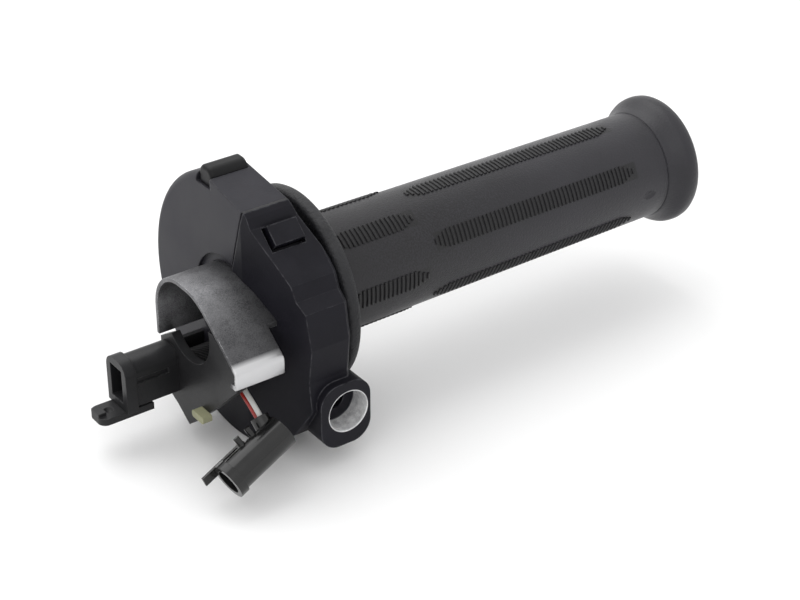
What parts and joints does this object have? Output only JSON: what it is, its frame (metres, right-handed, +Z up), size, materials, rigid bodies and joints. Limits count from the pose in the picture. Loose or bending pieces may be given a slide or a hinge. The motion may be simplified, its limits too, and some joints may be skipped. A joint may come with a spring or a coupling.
{
  "type": "throttle grip",
  "caption": "Heated motorcycle twist grip with an electronic throttle sensor housing, a bolt lug, a bent metal saddle and two wiring connectors.",
  "frame": {"origin": "on the handlebar axis, in the housing's inboard face, where the handlebar enters the fixed sleeve", "axes": "+X outboard along the handlebar, +Y forward, +Z up"},
  "size_m": [0.1977, 0.0786, 0.0794],
  "materials": {
    "coated_casting": "matte black powder coat",
    "cover_plastic": "fine matte grain",
    "gasket_rubber": "matte",
    "zinc_steel": "satin",
    "plug_rubber": "matte",
    "mill_aluminium": "mill finish",
    "turned_aluminium": "turned",
    "board_green": "lacquered",
    "chip_black": "matte",
    "ribbon_amber": "film",
    "tube_plastic": "satin",
    "bush_plastic": "satin",
    "gear_plastic": "satin",
    "grip_rubber": "satin, fine grain",
    "collar_rubber": "rough grain",
    "connector_plastic": "matte",
    "cream_plastic": "satin",
    "contact_tin": "plated",
    "seal_silicone": "soft",
    "loom_sleeve": "shrink sleeve",
    "lead_red": "smooth",
    "lead_white": "smooth",
    "plug_gloss": "moulded gloss"
  },
  "bodies": {
    "housing": {"clamp_housing": "coated_casting", "rear_cover": "cover_plastic", "cover_gasket": "gasket_rubber", "cover_screws": "zinc_steel", "slot_plug": "plug_rubber", "latch_tab": "coated_casting", "shaft_seal": "gasket_rubber", "metal_saddle": "mill_aluminium", "inner_sleeve": "turned_aluminium", "thrust_washer": "zinc_steel", "retaining_ring": "zinc_steel", "sensor_pin": "zinc_steel", "circuit_board": "board_green", "board_parts": "chip_black", "return_spring": "zinc_steel", "heater_ribbon": "ribbon_amber", "connector_bracket": "connector_plastic", "retainer_clip": "cream_plastic", "main_connector_body": "connector_plastic", "main_connector_pins": "contact_tin", "main_connector_seal": "seal_silicone", "main_connector_lock": "connector_plastic", "sensor_loom": "loom_sleeve", "lead_grommet": "gasket_rubber", "heater_lead_red": "lead_red", "heater_lead_white": "lead_white", "round_plug_body": "plug_gloss", "round_plug_pins": "contact_tin", "round_plug_seal": "seal_silicone", "round_plug_latch": "plug_gloss"},
    "twist_grip": {"throttle_tube": "tube_plastic", "bush_inboard": "bush_plastic", "bush_outboard": "bush_plastic", "drive_gear": "gear_plastic", "heating_foil": "ribbon_amber", "grip_rubber": "grip_rubber", "grip_collar": "collar_rubber"},
    "sensor_rotor": {"sensor_gear": "gear_plastic", "sensor_magnet": "zinc_steel"}
  },
  "joints": [
    {"name": "throttle_turn", "type": "hinge", "parent": "housing", "child": "twist_grip", "pos_m": [0, 0, 0], "axis": [1, 0, 0], "range_deg": [0, 72], "stiffness_Nm_per_rad": 0.35, "springref_deg": -34.38},
    {"name": "sensor_turn", "type": "hinge", "parent": "housing", "child": "sensor_rotor", "pos_m": [0.0077, 0.02406, 0.00876], "axis": [1, 0, 0], "range_deg": [-216, 0]}
  ],
  "couplings": [
    {"joint": "sensor_turn", "follows": "throttle_turn", "ratio": -3}
  ]
}
